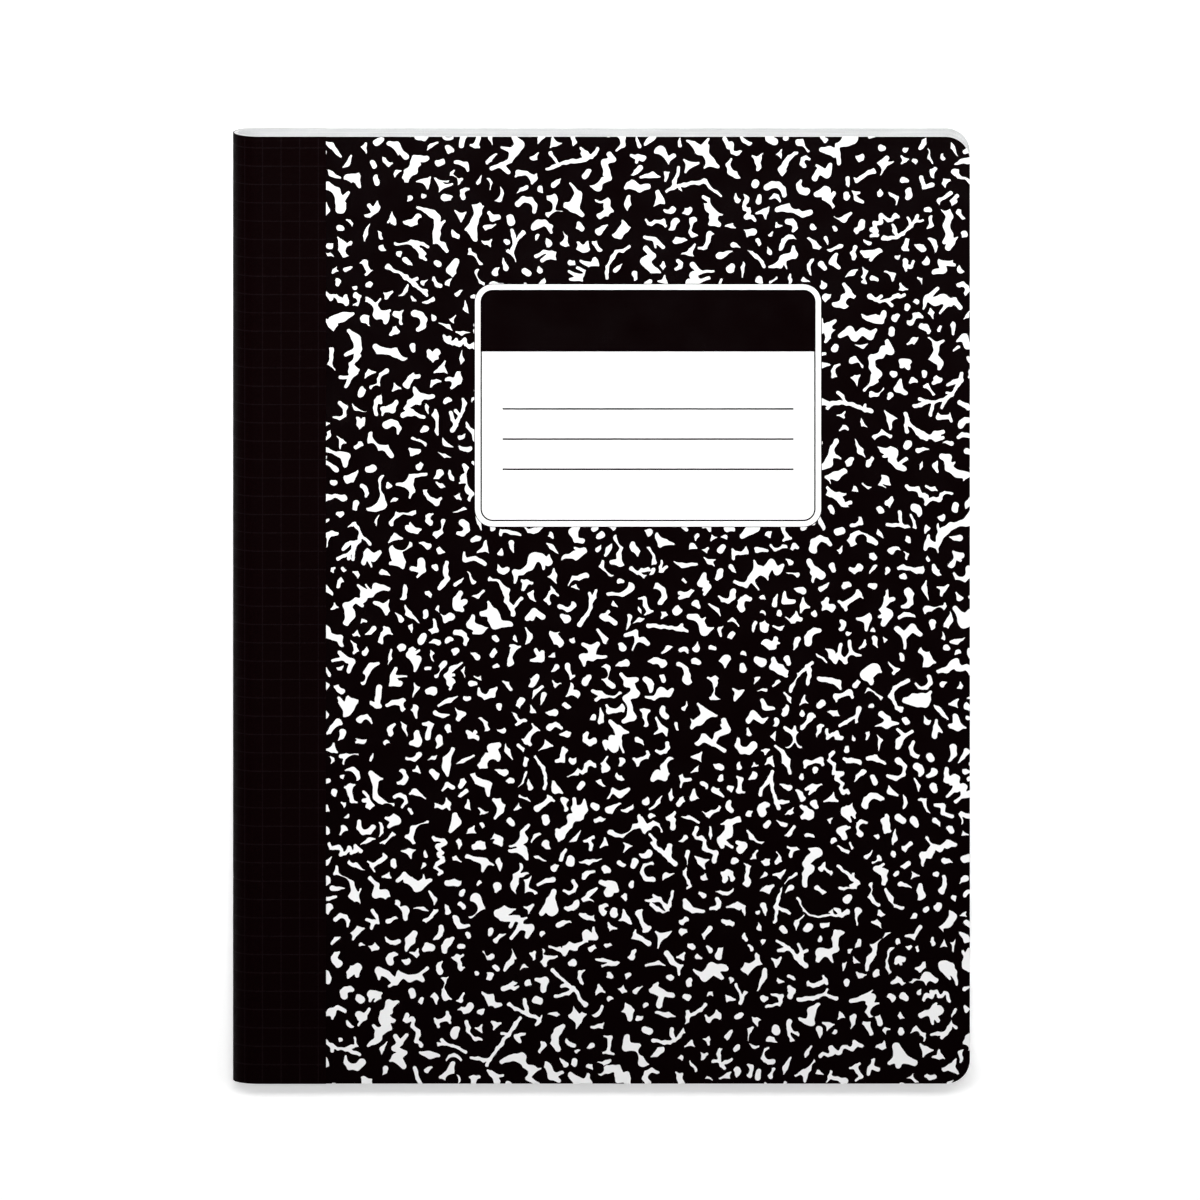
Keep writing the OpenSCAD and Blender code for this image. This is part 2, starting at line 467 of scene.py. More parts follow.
def wedge(rng):
    """Three short points about a common middle."""
    size = rng.uniform(0.9, 1.9)
    strokes = []
    for k in range(3):
        x, y = polar(size * rng.uniform(0.75, 1.25), THIRD_TURN * k + rng.uniform(-0.45, 0.45))
        strokes.append(((0, 0, size * 0.42), (x, y, rng.uniform(0.12, 0.3))))
    return strokes


def hook(rng):
    """A curved stroke that thickens towards one end."""
    bend_r, sweep = rng.uniform(0.9, 1.9), rng.uniform(1.5, 3.6)
    thin, thick = rng.uniform(0.2, 0.5), rng.uniform(0.5, 0.85)
    points = []
    for t in np.linspace(0, 1, 5):
        x, y = polar(bend_r, sweep * (t - 0.5))
        points.append((x - bend_r * 0.6, y, thin + (thick - thin) * t ** 0.7))
    return chain(points)


def bone(rng):
    """A narrow waist with a forked knob at each end."""
    half = rng.uniform(0.9, 1.7)
    strokes = chain([(-half, 0, rng.uniform(0.4, 0.75)),
                     (0, rng.uniform(-0.4, 0.4), rng.uniform(0.26, 0.45)),
                     (half, 0, rng.uniform(0.4, 0.75))])
    for side in (-1, 1):
        for k in (-1, 1):
            if rng.random() < 0.7:
                x, y = polar(rng.uniform(0.7, 1.2), k * rng.uniform(0.9, 1.4))
                tip = (side * (half + x * 0.6), y, rng.uniform(0.15, 0.35))
                strokes.append(((side * half, 0, 0.3), tip))
    return strokes


def lump(rng, arms, core):
    """A lopsided body with a few blunt lobes of very unequal length."""
    turn = rng.uniform(0, FULL_TURN)
    x, y = polar(core * rng.uniform(0.9, 1.9), turn)
    body = [(0, 0, core * rng.uniform(0.7, 0.95)), (x, y, core * rng.uniform(0.5, 0.9))]
    strokes = [tuple(body)]
    for _ in range(arms):
        px, py, pr = body[int(rng.integers(2))]
        heading = turn + rng.uniform(-2.6, 2.6)
        dx, dy = polar(core * rng.uniform(0.9, 2.1), heading)
        strokes.append(((px, py, pr * 0.7), (px + dx, py + dy, rng.uniform(0.22, 0.62))))
    return strokes


def wiggle(rng, steps):
    """A winding stroke of uneven width with short side branches."""
    course = rng.uniform(0, FULL_TURN)
    x = y = 0.0
    side = rng.choice([-1, 1])
    points = []
    for k in range(steps):
        at_end = k in (0, steps - 1)
        points.append((x, y, rng.uniform(0.2, 0.6) if at_end else rng.uniform(0.38, 0.95)))
        side = -side if rng.random() < 0.72 else side
        heading = course + side * rng.uniform(0.2, 1.15)
        if rng.random() < 0.2:
            course += rng.uniform(-0.9, 0.9)
        dx, dy = polar(rng.uniform(1.1, 2.1), heading)
        x, y = x + dx, y + dy
    strokes = chain(points)
    for px, py, pr in points[1:-1]:
        if rng.random() < 0.42:
            dx, dy = polar(rng.uniform(1.0, 2.6), course + rng.choice([-1, 1]) * rng.uniform(1.0, 1.9))
            strokes.append(((px, py, pr * 0.7), (px + dx, py + dy, rng.uniform(0.14, 0.45))))
    return strokes


def antler(rng):
    """A long thin curving stroke with curved side branches."""
    strokes = []

    def branch(x, y, heading, steps, bend, r):
        points = [(x, y, r)]
        for _ in range(steps):
            heading += bend + rng.uniform(-0.35, 0.35)
            dx, dy = polar(rng.uniform(0.9, 1.5), heading)
            x, y, r = x + dx, y + dy, rng.uniform(0.24, 0.44)
            points.append((x, y, r))
        strokes.extend(chain(points))
        return points

    trunk = branch(0, 0, 0, int(rng.integers(5, 10)), rng.uniform(-0.3, 0.3), rng.uniform(0.3, 0.6))
    for k in range(1, len(trunk) - 1):
        if rng.random() < 0.42:
            x, y, r = trunk[k]
            ahead = math.atan2(trunk[k + 1][1] - y, trunk[k + 1][0] - x)
            turn = rng.choice([-1, 1])
            heading = ahead + turn * rng.uniform(0.8, 1.5)
            steps = int(rng.integers(1, 4))
            branch(x, y, heading, steps, -turn * rng.uniform(0, 0.4), r * 0.9)
    return strokes


def meander(rng):
    """A narrow stroke that swings unevenly from side to side."""
    course, side = 0.0, 1
    points = [(0.0, 0.0, rng.uniform(0.26, 0.5))]

    def step(length, heading):
        dx, dy = polar(length, heading)
        points.append((points[-1][0] + dx, points[-1][1] + dy, rng.uniform(0.26, 0.5)))

    for _ in range(int(rng.integers(4, 9))):
        side = -side
        step(rng.uniform(0.6, 1.6), course + side * rng.uniform(0.5, 1.5))
        if rng.random() < 0.5:
            step(rng.uniform(0.4, 0.9), course + rng.uniform(-0.4, 0.4))
        course += rng.uniform(-0.35, 0.35)
    return chain(points)


def fleck_strokes(rng, rank):
    """Strokes of one fleck of a form that its rank has."""
    pick = rng.random()
    if rank == 0:
        if pick < 0.44:
            return wiggle(rng, int(rng.integers(5, 10)))
        if pick < 0.66:
            return antler(rng)
        if pick < 0.80:
            return meander(rng)
        return lump(rng, int(rng.integers(2, 5)), rng.uniform(0.95, 1.5))
    if rank == 1:
        if pick < 0.34:
            return wiggle(rng, int(rng.integers(3, 5)))
        if pick < 0.50:
            return lump(rng, int(rng.integers(2, 4)), rng.uniform(0.65, 0.95))
        return bone(rng) if pick < 0.76 else hook(rng)
    kinds = ((0.34, pebble), (0.55, drop), (0.72, sliver), (0.86, wedge), (1.01, hook))
    kind = next(k for limit, k in kinds if pick < limit)
    scale = rng.uniform(0.72, 1.0)
    return [tuple(tuple(v * scale for v in end) for end in stroke) for stroke in kind(rng)]


def make_fleck(rng, rank):
    """A fleck about the origin: turned strokes, hollows bitten out of their sides, and a slight warp."""
    turn = rng.uniform(0, FULL_TURN)
    c, s, k = math.cos(turn), math.sin(turn), RANK_SCALES[rank]
    strokes = [tuple((k * (c * x - s * y), k * (s * x + c * y), k * r) for x, y, r in stroke)
               for stroke in fleck_strokes(rng, rank)]
    bites = []
    for _ in range(int(rng.integers(0, 3 if rank == 2 else 6))):
        x, y, r = strokes[int(rng.integers(len(strokes)))][0]
        size = k * rng.uniform(0.8, 4.0)
        dx, dy = polar(size + r * rng.uniform(0.5, 0.85), rng.uniform(0, FULL_TURN))
        bites.append((x + dx, y + dy, size))
    warp = (rng.uniform(0.04, 0.12), rng.uniform(1.8, 3.2), rng.uniform(0, 6.28), rng.uniform(0, 6.28))
    return {"strokes": strokes, "bites": bites, "warp": warp}


def fleck_grid(fleck, pad, cell):
    """First column, first row and the field on a grid that holds the fleck and a rim round it."""
    ends = np.array([end for stroke in fleck["strokes"] for end in stroke])
    low = (ends[:, :2] - ends[:, 2:]).min(0) - pad
    high = (ends[:, :2] + ends[:, 2:]).max(0) + pad
    i0, j0 = (int(v) for v in np.floor(low / cell))
    width, height = (int(v) + 1 for v in np.ceil((high - low) / cell))
    x, y = (i0 + np.arange(width)) * cell, (j0 + np.arange(height)) * cell
    return i0, j0, fleck_field(fleck, x[None, :], y[:, None])


def scatter(width, height, seed):
    """Flecks over a field, the large ones first, each with its place measured from the field's corner."""
    rng = np.random.default_rng(seed)
    columns, rows = (int((side + 2 * OVERHANG) / MAP_CELL) for side in (width, height))
    taken = np.zeros((rows, columns), bool)
    placed = []
    for rank, share in enumerate(RANK_SHARES):
        wanted = int(share * FLECKS_PER_MM2 * width * height)
        free = np.flatnonzero(~taken)
        done = fails = 0
        while done < wanted and fails < wanted:
            fleck = make_fleck(rng, rank)
            gap = rng.uniform(*GAPS)
            i0, j0, field = fleck_grid(fleck, gap, MAP_CELL)
            body, halo = field < 0.05, field < gap
            if body.sum() * MAP_CELL ** 2 < RANK_LEAST_AREAS[rank]:
                continue
            h, w = field.shape
            for _ in range(60):
                j, i = divmod(int(free[rng.integers(len(free))]), columns)
                a, b = i + i0, j + j0
                if a < 0 or b < 0 or a + w > columns or b + h > rows:
                    continue
                window = taken[b:b + h, a:a + w]
                if not (window & body).any():
                    window |= halo
                    fleck["at"] = (i * MAP_CELL - OVERHANG, j * MAP_CELL - OVERHANG)
                    placed.append(fleck)
                    done += 1
                    break
            else:
                fails += 1
            if done % 50 == 0:
                free = np.flatnonzero(~taken)
    side = int(WIDEST_INK / MAP_CELL)
    total = np.pad(taken.astype(np.int32).cumsum(0).cumsum(1), ((1, 0), (1, 0)))
    filled = total[side:, side:] - total[:-side, side:] - total[side:, :-side] + total[:-side, :-side]
    for j, i in rng.permutation(np.argwhere(filled == 0)):
        if taken[j:j + side, i:i + side].any():
            continue
        i, j = int(i) + side // 2, int(j) + side // 2
        fleck = make_fleck(rng, 2)
        i0, j0, field = fleck_grid(fleck, GAPS[0], MAP_CELL)
        h, w = field.shape
        a, b = min(max(i + i0, 0), columns - w), min(max(j + j0, 0), rows - h)
        window = taken[b:b + h, a:a + w]
        if not (window & (field < 0.05)).any():
            window |= field < GAPS[0]
            fleck["at"] = ((a - i0) * MAP_CELL - OVERHANG, (b - j0) * MAP_CELL - OVERHANG)
            placed.append(fleck)
    return placed


# Sides of a grid cell that an outline enters and leaves by, for each pattern of corners inside
BOTTOM, RIGHT, TOP, LEFT = range(4)
CELL_STEPS = {
    1: [(BOTTOM, LEFT)], 2: [(RIGHT, BOTTOM)], 3: [(RIGHT, LEFT)], 4: [(TOP, RIGHT)],
    5: [(BOTTOM, LEFT), (TOP, RIGHT)], 6: [(TOP, BOTTOM)], 7: [(TOP, LEFT)], 8: [(LEFT, TOP)],
    9: [(BOTTOM, TOP)], 10: [(RIGHT, BOTTOM), (LEFT, TOP)], 11: [(RIGHT, TOP)], 12: [(LEFT, RIGHT)],
    13: [(BOTTOM, RIGHT)], 14: [(LEFT, BOTTOM)],
}


def trace(field):
    """Closed outlines of a field's negative parts, in cells, counterclockwise round what is inside."""
    inside = field < 0
    code = (inside[:-1, :-1] * 1 + inside[:-1, 1:] * 2 + inside[1:, 1:] * 4 + inside[1:, :-1] * 8)
    following = {}
    for j, i in np.argwhere((code > 0) & (code < 15)):
        sides = ((j, i, 0), (j, i + 1, 1), (j + 1, i, 0), (j, i, 1))
        for start, end in CELL_STEPS[int(code[j, i])]:
            following[sides[start]] = sides[end]
    outlines = []
    while following:
        start = key = next(iter(following))
        points = []
        while key in following:
            j, i, upright = key
            here = field[j, i]
            there = field[j + 1, i] if upright else field[j, i + 1]
            t = here / (here - there)
            points.append((i, j + t) if upright else (i + t, j))
            key = following.pop(key)
        if key == start:
            outlines.append(np.array(points, float))
    return outlines


def area(points):
    """Area in a closed outline, negative where it runs clockwise."""
    x, y = points[:, 0], points[:, 1]
    return 0.5 * float(np.dot(x, np.roll(y, -1)) - np.dot(y, np.roll(x, -1)))


def simplified(points):
    """The outline with points left out where the rest stays within TRACE_ERROR of it."""
    kept = [0]
    n, at = len(points), 0
    while at < n:
        reach = at + 2
        while reach <= n:
            a, b = points[at], points[reach % n]
            chord = b - a
            length = math.hypot(*chord)
            between = points[at + 1:reach] - a
            off = np.abs(between[:, 0] * chord[1] - between[:, 1] * chord[0]) / max(length, 1e-9)
            if off.max() > TRACE_ERROR or reach - at > 12:
                break
            reach += 1
        at = reach - 1
        if at < n:
            kept.append(at)
    return points[kept]


def fleck_outlines(width, height, seed, corner):
    """Outlines of all flecks on a field with its lower left corner at a point."""
    outlines = []
    for fleck in scatter(width, height, seed):
        i0, j0, field = fleck_grid(fleck, 2 * TRACE_CELL, TRACE_CELL)
        offset = np.array(fleck["at"]) + corner
        for cells in trace(field + INK_GAIN):
            points = (cells + (i0, j0)) * TRACE_CELL
            size = area(points)
            if abs(size) >= SMALLEST_FLECK:
                outlines.append(simplified(points if size > 0 else points[::-1]) + offset)
    return outlines


# Cover boards: one closed solid each, with the print in the mesh of its outer face

EDGE_SOFTNESS = 0.14                 # radius of a board's edges
MERGE_DISTANCE = 2e-4                # points of the print that lie nearer than this are one
LABEL_SIZE = (89.2, 63.4)
LABEL_FROM_HEAD = 38.7
LABEL_CENTRE = ((TAPE_EDGE_X + FORE_X) / 2, HALF_H - LABEL_FROM_HEAD - LABEL_SIZE[1] / 2)
LABEL_R = 4.6
KEY_LINE = 0.2                       # hairline of ink round the label
FRAME_INSET = 1.4                    # white border outside the frame line
FRAME_LINE = 0.38
HEADER_H = 16.2                      # dark band across the top of the frame
RULE_COUNT = 3                       # writing lines
FIRST_RULE = 32.6                    # from the label's top to the first writing line
RULE_PITCH = 7.9
RULE_MARGIN = 7.1
RULE_LINE = 0.44


def label_layers():
    """Outlines of the label's parts with what each one is made of, the upper ones last."""
    cx, cy = LABEL_CENTRE
    w, h = LABEL_SIZE

    def panel(grow):
        return round_panel(LABEL_CENTRE, w + 2 * grow, h + 2 * grow, LABEL_R + grow)

    inner = FRAME_INSET + FRAME_LINE
    band_bottom = cy + h / 2 - FRAME_INSET - HEADER_H
    window = [p for p in panel(-inner) if p[1] < cy]
    x0, x1 = cx - w / 2 + inner, cx + w / 2 - inner
    right = [p for p in window if p[0] > cx]
    left = [p for p in window if p[0] <= cx]
    window = left + right + [(x1, band_bottom), (x0, band_bottom)]
    layers = [(panel(KEY_LINE), "ink"), (panel(0), "bare"), (panel(-FRAME_INSET), "ink"), (window, "bare")]
    for k in range(RULE_COUNT):
        y = cy + h / 2 - FIRST_RULE - k * RULE_PITCH
        half = w / 2 - RULE_MARGIN
        layers.append((rectangle(cx - half, y - RULE_LINE / 2, cx + half, y + RULE_LINE / 2), "ink"))
    return layers


def outward(x, y):
    """Direction from a point on a cover's outline to the outside."""
    cx, cy = FORE_X - CORNER_R, HALF_H - CORNER_R
    if x > cx and abs(y) > cy:
        dx, dy = x - cx, y - math.copysign(cy, y)
        length = math.hypot(dx, dy)
        return dx / length, dy / length
    at_end = abs(y) > HALF_H - 2 * EDGE_SOFTNESS
    at_spine = x < PANEL_X + 2 * EDGE_SOFTNESS
    return ((-1.0 if at_spine else 0.0 if at_end else 1.0), math.copysign(1, y) if at_end else 0.0)


def printed_face(layers, flecks):
    """Triangles of a cover's printed face and what each is made of."""
    outlines = [leaf_outline(EDGE_SOFTNESS)] + [outline for outline, _ in layers] + flecks
    points, faces = [], []
    for outline in outlines:
        faces.append(list(range(len(points), len(points) + len(outline))))
        points += [Vector((float(x), float(y))) for x, y in outline]
    verts, _, triangles, _, _, sources = delaunay_2d_cdt(points, [], faces, 1, MERGE_DISTANCE, True)
    made_of = [kind for _, kind in layers]
    kept, kinds = [], []
    for triangle, source in zip(triangles, sources):
        if 0 not in source:
            continue
        top = max((s for s in source if 0 < s <= len(layers)), default=0)
        if top:
            kind = made_of[top - 1]
        else:
            kind = "bare" if sum(s > len(layers) for s in source) % 2 else "ink"
        kept.append(triangle)
        kinds.append(kind)
    used = sorted({v for t in kept for v in t})
    new_index = {old: new for new, old in enumerate(used)}
    kept = [tuple(new_index[v] for v in t) for t in kept]
    return [tuple(verts[v]) for v in used], kept, kinds


def cover_board(name, face_z, inner_z, layers, seed):
    """A cover with its print on the face at face_z and plain card at inner_z."""
    field = (FORE_X - TAPE_EDGE_X, 2 * HALF_H)
    flecks = fleck_outlines(*field, seed, (TAPE_EDGE_X, -HALF_H))
    flat, triangles, kinds = printed_face(layers, flecks)
    up = 1 if face_z > inner_z else -1
    directed = {}
    for triangle, kind in zip(triangles, kinds):
        for a, b in zip(triangle, triangle[1:] + triangle[:1]):
            directed[a, b] = kind
    rim = {a: (b, kind) for (a, b), kind in directed.items() if (b, a) not in directed}
    first = min(rim)
    loop = [first]
    while rim[loop[-1]][0] != first:
        loop.append(rim[loop[-1]][0])
    soft = EDGE_SOFTNESS
    steps = [(soft * math.sin(a), soft * (1 - math.cos(a))) for a in (math.radians(45), math.radians(90))]
    rings = [(out, face_z - up * depth) for out, depth in steps]
    rings += [(out, inner_z + up * depth) for out, depth in reversed(steps)]
    rings.append((0, inner_z))
    points = [(x, y, face_z) for x, y in flat]
    ring_starts = []
    for out, z in rings:
        ring_starts.append(len(points))
        for v in loop:
            x, y = flat[v]
            dx, dy = outward(x, y)
            points.append((x + out * dx, y + out * dy, z))
    faces = list(triangles)
    n = len(loop)
    for k in range(n):
        nxt = (k + 1) % n
        upper = (loop[k], loop[nxt])
        for level, start in enumerate(ring_starts):
            lower = (start + k, start + nxt)
            faces.append((upper[1], upper[0], lower[0], lower[1]))
            kinds.append(rim[loop[k]][1] if level == 0 else "edge")
            upper = lower
    faces.append(tuple(ring_starts[-1] + k for k in reversed(range(n))))
    kinds.append("inside")
    if up < 0:
        faces = [tuple(reversed(f)) for f in faces]
    slots = ["ink", "bare", "edge", "inside"]
    return make_piece(name, points, faces, slots, [slots.index(kind) for kind in kinds])


front_board = cover_board("front_board", FRONT_HIGH[2], FRONT_LOW[2], label_layers(), 3)
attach(front_board, "front")
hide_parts("front_cover", "front_marbling", "label_print")

back_board = cover_board("back_board", BACK_LOW[2], BACK_HIGH[2], [], 8)
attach(back_board, "back")
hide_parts("back_cover", "back_marbling")


# Binding tape: two halves that meet in the middle of the spine

TAPE_T = 0.24
TAPE_SOFTNESS = 0.07                 # how far in its edges are rounded
FLAP_XS = (-84, -80, -76)            # places along the flap, to keep its faces short
GROOVE_PITCH = 4.8                   # faint embossed grid
GROOVE_HALF = 0.14
GROOVE_DEPTH = 0.03
GROOVE_COLUMNS = 6
GROOVE_ROWS = 51
NEAREST_GROOVE_X = -73.0             # groove nearest the tape's edge
HIGHEST_GROOVE_Y = 121.1             # groove nearest the head


def with_grooves(stations, centres, low, high):
    """Stations along one direction with the grooves' own added: (place, is it a groove's middle)."""
    marks = {round(s, 4): False for s in stations}
    for c in centres:
        if low + GROOVE_HALF < c < high - GROOVE_HALF:
            for s in [s for s in marks if abs(s - c) <= GROOVE_HALF]:
                del marks[s]
            marks[round(c - GROOVE_HALF, 4)] = False
            marks[round(c + GROOVE_HALF, 4)] = False
            marks[round(c, 4)] = True
    return sorted(marks.items())


def tape_half(name, side):
    """The half of the tape above the fold's axis (side 1) or below it (side -1)."""
    quarter = TAPE_R * math.pi / 2
    flat = TAPE_EDGE_X - FOLD_X

    def section(s, depth):
        """Point of the cross-section at a distance along the tape's outer face and a depth under it."""
        if s < quarter:
            a = s / TAPE_R
            return FOLD_X - (TAPE_R - depth) * math.cos(a), side * (TAPE_R - depth) * math.sin(a)
        return FOLD_X + s - quarter, side * (TAPE_R - depth)

    stations = list(np.linspace(0, quarter, 25))
    stations += [quarter + x - FOLD_X for x in np.linspace(STRIP_X, PANEL_X, 13)]
    stations += [quarter + x - FOLD_X for x in (*FLAP_XS, TAPE_EDGE_X - TAPE_SOFTNESS, TAPE_EDGE_X)]
    last = quarter + flat
    nearest = quarter + NEAREST_GROOVE_X - FOLD_X
    columns = with_grooves(stations, [nearest - GROOVE_PITCH * k for k in range(GROOVE_COLUMNS)], 0, last)
    end_y = HALF_H
    rows = with_grooves([-end_y, TAPE_SOFTNESS - end_y, end_y - TAPE_SOFTNESS, end_y],
                        [HIGHEST_GROOVE_Y - GROOVE_PITCH * k for k in range(GROOVE_ROWS)], -end_y, end_y)
    points, uv = [], []
    for s, s_groove in columns:
        for y, y_groove in rows:
            depth = GROOVE_DEPTH if s_groove or y_groove else 0
            if s == round(last, 4) or abs(y) == end_y:
                depth = TAPE_SOFTNESS * 0.8
            x, z = section(s, depth)
            points.append((x, y, MID_Z + z))
            uv.append((s, y))
    n_rows, n_columns = len(rows), len(columns)
    base = len(points)
    for s, _ in columns:
        x, z = section(s, TAPE_T)
        for y in (-end_y, end_y):
            points.append((x, y, MID_Z + z))
            uv.append((s, y))
    faces, kinds = [], []

    def add(face, kind):
        faces.append(face if side > 0 else tuple(reversed(face)))
        kinds.append(kind)

    for i in range(n_columns - 1):
        for j in range(n_rows - 1):
            a = i * n_rows + j
            # Faces along a groove take the lighter cloth, a painted sheen.
            grooved = columns[i][1] or columns[i + 1][1] or rows[j][1] or rows[j + 1][1]
            add((a, a + n_rows, a + n_rows + 1, a + 1), int(grooved))
        low, high = base + 2 * i, base + 2 * i + 1
        add((low, high, high + 2, low + 2), 0)
        a, b = i * n_rows, (i + 1) * n_rows
        add((a, low, low + 2, b), 0)
        add((a + n_rows - 1, b + n_rows - 1, high + 2, high), 0)
    first_column = tuple(range(n_rows))
    last_column = tuple(range((n_columns - 1) * n_rows, n_columns * n_rows))
    end = base + 2 * (n_columns - 1)
    add(first_column + (base + 1, base), 0)
    add(tuple(reversed(last_column)) + (end, end + 1), 0)
    return make_piece(name, points, faces, ["tape", "groove"], kinds, smooth_below=8, uv=uv)


tape_front = tape_half("tape_front_half", 1)
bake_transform(tape_front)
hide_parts("front_tape", "spine_tape")

tape_back = tape_half("tape_back_half", -1)
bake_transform(tape_back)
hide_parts("back_tape", "spine_tape")


# Creases: the card's own fold between the spine strip and each cover

def crease(name, low_z, high_z, outer_up):
    """A narrow bar of card in slices."""
    xs = np.linspace(STRIP_X, PANEL_X, 13)
    section = ((-HALF_H, low_z), (HALF_H, low_z), (HALF_H, high_z), (-HALF_H, high_z))
    points = [(x, y, z) for x in xs for y, z in section]
    faces, kinds = [], []
    top, bottom = ("bare", "inside") if outer_up else ("inside", "bare")
    for i in range(len(xs) - 1):
        a, b = 4 * i, 4 * (i + 1)
        for k, kind in ((0, bottom), (1, "edge"), (2, top), (3, "edge")):
            m = (k + 1) % 4
            faces.append((a + k, a + m, b + m, b + k))
            kinds.append(kind)
    faces += [(3, 2, 1, 0), tuple(4 * (len(xs) - 1) + k for k in range(4))]
    kinds += ["edge", "edge"]
    slots = ["bare", "inside", "edge"]
    return make_piece(name, points, faces, slots, [slots.index(k) for k in kinds], smooth_below=30)


front_crease = crease("front_crease", FRONT_LOW[2], FRONT_HIGH[2], True)
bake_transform(front_crease)

back_crease = crease("back_crease", BACK_LOW[2], BACK_HIGH[2], False)
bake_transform(back_crease)


# Pages: fifty folded sheets, nested round the seam, with a breath of air between them

SHEETS = 50
LEAF = 0.092
BLOCK_ROOM = 0.02                    # between the outermost sheet and the cover
CORNER_STEPS = 8
TRIMS = (0.036, 0.042)               # least and most that a sheet is cut short of the edge
LEAST_AIR = 0.25                     # share of air that every sheet has beside it
WAVE_HEIGHT = 0.02                   # how far a leaf rises and falls
WAVE_RUN_IN = 30                     # distance from the fold over which that sets in
RULING_PITCH = 7.1
RULING_LINE = 0.22
TOP_MARGIN = 22.0
TAIL_MARGIN = 12.0
SIDE_MARGIN = 32.0                   # from a page's edge to the red line


def ruled_rows():
    """Row places for the outermost sheet, and which stretches between them are printed lines."""
    first = HALF_H - TOP_MARGIN
    spaces = int((2 * HALF_H - TOP_MARGIN - TAIL_MARGIN) / RULING_PITCH)
    rows = []
    for k in range(spaces + 1):
        y = first - k * RULING_PITCH
        rows += [(y - RULING_LINE / 2, True), (y + RULING_LINE / 2, False)]
    return sorted(rows)


def sheet_mesh(outer_r, trim, wave, ruled):
    """Points, faces and kinds of one folded sheet."""
    corner_x = FORE_X - CORNER_R
    flats = [corner_x + CORNER_R * math.sin(a) - trim * math.sin(a)
             for a in np.linspace(math.pi / 2, 0, CORNER_STEPS + 1)]
    margin_last = FORE_X - SIDE_MARGIN
    margin_first = -FORE_X + SIDE_MARGIN
    plain = list(np.linspace(corner_x, FOLD_X, 13))[1:]
    if ruled:
        half = RULING_LINE / 2
        plain += [margin_first + half, margin_first - half, margin_last + half, margin_last - half]
        plain.sort(reverse=True)
    flats += plain
    turns = max(4, int(24 * outer_r / BLOCK_R))
    stations = [(x, 1, None) for x in flats]
    stations += [(None, 0, a) for a in np.linspace(90, 270, turns + 1)[1:-1]]
    stations += [(x, -1, None) for x in reversed(flats)]
    rows = ruled_rows() if ruled else []
    points = []
    for r in (outer_r, outer_r - LEAF):
        for x, side, angle in stations:
            if side:
                px, pz = x, MID_Z + side * r + wave(x)
            else:
                a = math.radians(angle)
                px, pz = FOLD_X + r * math.cos(a), MID_Z + r * math.sin(a)
            over = px - corner_x
            reach = HALF_H - trim
            if over > 0:
                reach = HALF_H - CORNER_R + math.sqrt(max(0.0, (CORNER_R - trim) ** 2 - over ** 2))
            points += [(px, y, pz) for y in (-reach, *(y for y, _ in rows), reach)]
    n, m = len(stations), len(rows) + 2
    faces, kinds = [], []
    second = n * m

    def printed(i, j):
        """What a patch of the sheet's outer face shows."""
        if not ruled:
            return "paper"
        (xa, side, _), (xb, next_side, _) = stations[i], stations[i + 1]
        margin = margin_first if side > 0 else margin_last
        level = xa is not None and xb is not None and side == next_side
        if level and abs((xa + xb) / 2 - margin) < 0.01:
            return "rule_red"
        return "rule_blue" if 0 < j < m - 1 and rows[j - 1][1] else "paper"

    for i in range(n - 1):
        for j in range(m - 1):
            a = i * m + j
            faces.append((a, a + 1, a + m + 1, a + m))
            kinds.append(printed(i, j))
            b = a + second
            faces.append((b, b + m, b + m + 1, b + 1))
            kinds.append("paper")
        for j, flip in ((0, False), (m - 1, True)):
            a, b = i * m + j, i * m + j + second
            face = (a, a + m, b + m, b)
            faces.append(tuple(reversed(face)) if flip else face)
            kinds.append("page_edges_painted_shade")
    for i, flip in ((0, False), (n - 1, True)):
        for j in range(m - 1):
            a, b = i * m + j, i * m + j + second
            face = (a, b, b + 1, a + 1)
            faces.append(tuple(reversed(face)) if flip else face)
            kinds.append("page_edges_painted_shade")
    return points, faces, kinds


def page_sheets():
    """All sheets in one piece, from the middle of the block outwards."""
    rng = np.random.default_rng(21)
    air = rng.exponential(1.0, SHEETS) + LEAST_AIR
    room = BLOCK_R - BLOCK_ROOM - SHEETS * LEAF
    radii = np.cumsum(LEAF + air / air.sum() * room)
    points, faces, kinds = [], [], []
    for i, outer_r in enumerate(radii):
        ruled = i == SHEETS - 1
        quiet = 1 - (outer_r / BLOCK_R) ** 2
        phase = 0.35 * math.sin(i * 0.4)

        def wave(x, quiet=quiet, phase=phase):
            """Slight unevenness of the stack, none near the fold and at the outermost leaf."""
            along = min(1.0, max(0.0, (x - FOLD_X) / WAVE_RUN_IN))
            return 0.0 if quiet < 0.05 else WAVE_HEIGHT * quiet * along * math.sin(0.11 * x + phase)

        trim = rng.uniform(*TRIMS)
        p, f, k = sheet_mesh(outer_r, trim, wave, ruled)
        start = len(points)
        points += p
        faces += [tuple(start + v for v in face) for face in f]
        kinds += k
    slots = ["paper", "page_edges_painted_shade", "rule_blue", "rule_red"]
    return make_piece("pages", points, faces, slots, [slots.index(k) for k in kinds], smooth_below=25)


pages = page_sheets()
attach(pages, "book_block")
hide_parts("page_block")


# CAD nodes that stay, in better materials

for node, look in (("cover_spine", "edge"), ("sewing_thread", "thread")):
    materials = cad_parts[node].data.materials
    materials.clear()
    materials.append(MATERIALS[look])


# Floor, light and surroundings

LIGHT_AIM = (0, 0.13, 0)
FLOOR_Z = -0.00005                   # between the closed and the opened back cover's tape


